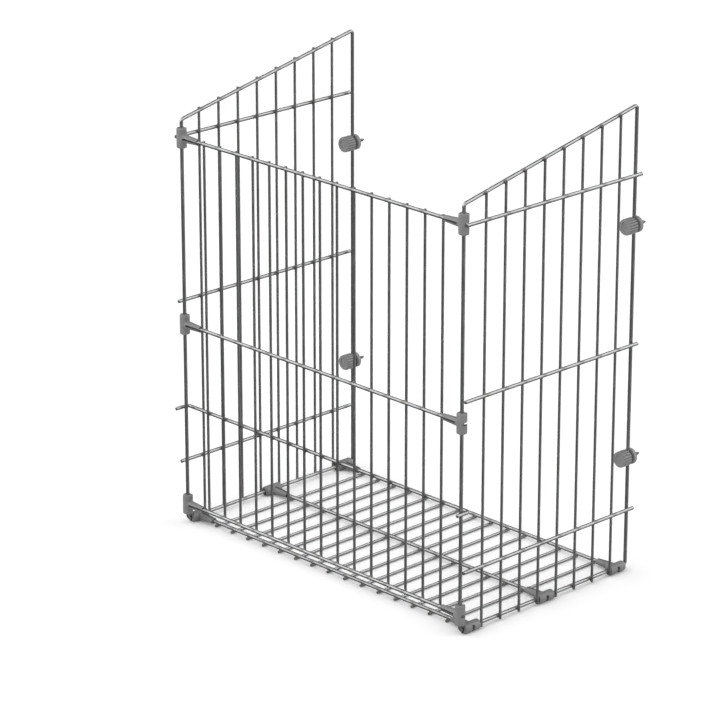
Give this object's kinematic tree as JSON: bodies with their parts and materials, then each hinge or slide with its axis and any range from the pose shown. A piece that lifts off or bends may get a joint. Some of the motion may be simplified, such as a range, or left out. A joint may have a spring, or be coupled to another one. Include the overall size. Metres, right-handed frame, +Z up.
{
  "type": "door-mounted wire basket",
  "caption": "Tall open-backed wire basket with sloping sides, clipped panels and turning clamp knobs that screw it to the back of a door.",
  "frame": {"origin": "middle of the footprint, on the surface that the basket stands on", "axes": "+X from left to right across the front, +Y from the front panel back to the door, +Z up"},
  "size_m": [0.4366, 0.2786, 0.5129],
  "materials": {
    "wire": "bright plated",
    "clip": "satin moulded",
    "knob": "satin moulded",
    "screw": "zinc plated",
    "washer": "zinc plated"
  },
  "bodies": {
    "basket": {"left_side_frame": "wire", "left_side_uprights": "wire", "left_upper_side_rail": "wire", "left_middle_side_rail": "wire", "left_lower_side_rail": "wire", "right_side_frame": "wire", "right_side_uprights": "wire", "right_upper_side_rail": "wire", "right_middle_side_rail": "wire", "right_lower_side_rail": "wire", "front_uprights": "wire", "front_stiffener": "wire", "front_top_rail": "wire", "front_middle_rail": "wire", "front_bottom_rail": "wire", "floor_bars": "wire", "floor_front_rail": "wire", "floor_middle_rail": "wire", "floor_rear_rail": "wire", "left_top_front_clip": "clip", "left_middle_front_clip": "clip", "left_bottom_front_clip": "clip", "left_front_floor_clip": "clip", "left_middle_floor_clip": "clip", "left_rear_floor_clip": "clip", "right_top_front_clip": "clip", "right_middle_front_clip": "clip", "right_bottom_front_clip": "clip", "right_front_floor_clip": "clip", "right_middle_floor_clip": "clip", "right_rear_floor_clip": "clip", "left_upper_clamp_post": "screw", "left_upper_clamp_seat": "knob", "left_lower_clamp_post": "screw", "left_lower_clamp_seat": "knob", "right_upper_clamp_post": "screw", "right_upper_clamp_seat": "knob", "right_lower_clamp_post": "screw", "right_lower_clamp_seat": "knob"},
    "left_upper_washer": {"left_upper_clamp_washer": "washer"},
    "left_upper_knob": {"left_upper_clamp_knob": "knob"},
    "left_lower_washer": {"left_lower_clamp_washer": "washer"},
    "left_lower_knob": {"left_lower_clamp_knob": "knob"},
    "right_upper_washer": {"right_upper_clamp_washer": "washer"},
    "right_upper_knob": {"right_upper_clamp_knob": "knob"},
    "right_lower_washer": {"right_lower_clamp_washer": "washer"},
    "right_lower_knob": {"right_lower_clamp_knob": "knob"}
  },
  "joints": [
    {"name": "left_upper_clamp_travel", "type": "slide", "parent": "basket", "child": "left_upper_washer", "axis": [0, -1, 0], "range_m": [0, 0.00375]},
    {"name": "left_upper_knob_turn", "type": "hinge", "parent": "left_upper_washer", "child": "left_upper_knob", "pos_m": [-0.2095, 0.11115, 0.38379], "axis": [0, -1, 0], "range_deg": [0, 1080]},
    {"name": "left_lower_clamp_travel", "type": "slide", "parent": "basket", "child": "left_lower_washer", "axis": [0, -1, 0], "range_m": [0, 0.00375]},
    {"name": "left_lower_knob_turn", "type": "hinge", "parent": "left_lower_washer", "child": "left_lower_knob", "pos_m": [-0.2095, 0.11115, 0.12779], "axis": [0, -1, 0], "range_deg": [0, 1080]},
    {"name": "right_upper_clamp_travel", "type": "slide", "parent": "basket", "child": "right_upper_washer", "axis": [0, -1, 0], "range_m": [0, 0.00375]},
    {"name": "right_upper_knob_turn", "type": "hinge", "parent": "right_upper_washer", "child": "right_upper_knob", "pos_m": [0.2095, 0.11115, 0.38379], "axis": [0, -1, 0], "range_deg": [0, 1080]},
    {"name": "right_lower_clamp_travel", "type": "slide", "parent": "basket", "child": "right_lower_washer", "axis": [0, -1, 0], "range_m": [0, 0.00375]},
    {"name": "right_lower_knob_turn", "type": "hinge", "parent": "right_lower_washer", "child": "right_lower_knob", "pos_m": [0.2095, 0.11115, 0.12779], "axis": [0, -1, 0], "range_deg": [0, 1080]}
  ],
  "couplings": [
    {"joint": "left_upper_knob_turn", "follows": "left_upper_clamp_travel", "rad_per_m": 5026.5},
    {"joint": "left_lower_knob_turn", "follows": "left_lower_clamp_travel", "rad_per_m": 5026.5},
    {"joint": "right_upper_knob_turn", "follows": "right_upper_clamp_travel", "rad_per_m": 5026.5},
    {"joint": "right_lower_knob_turn", "follows": "right_lower_clamp_travel", "rad_per_m": 5026.5}
  ]
}
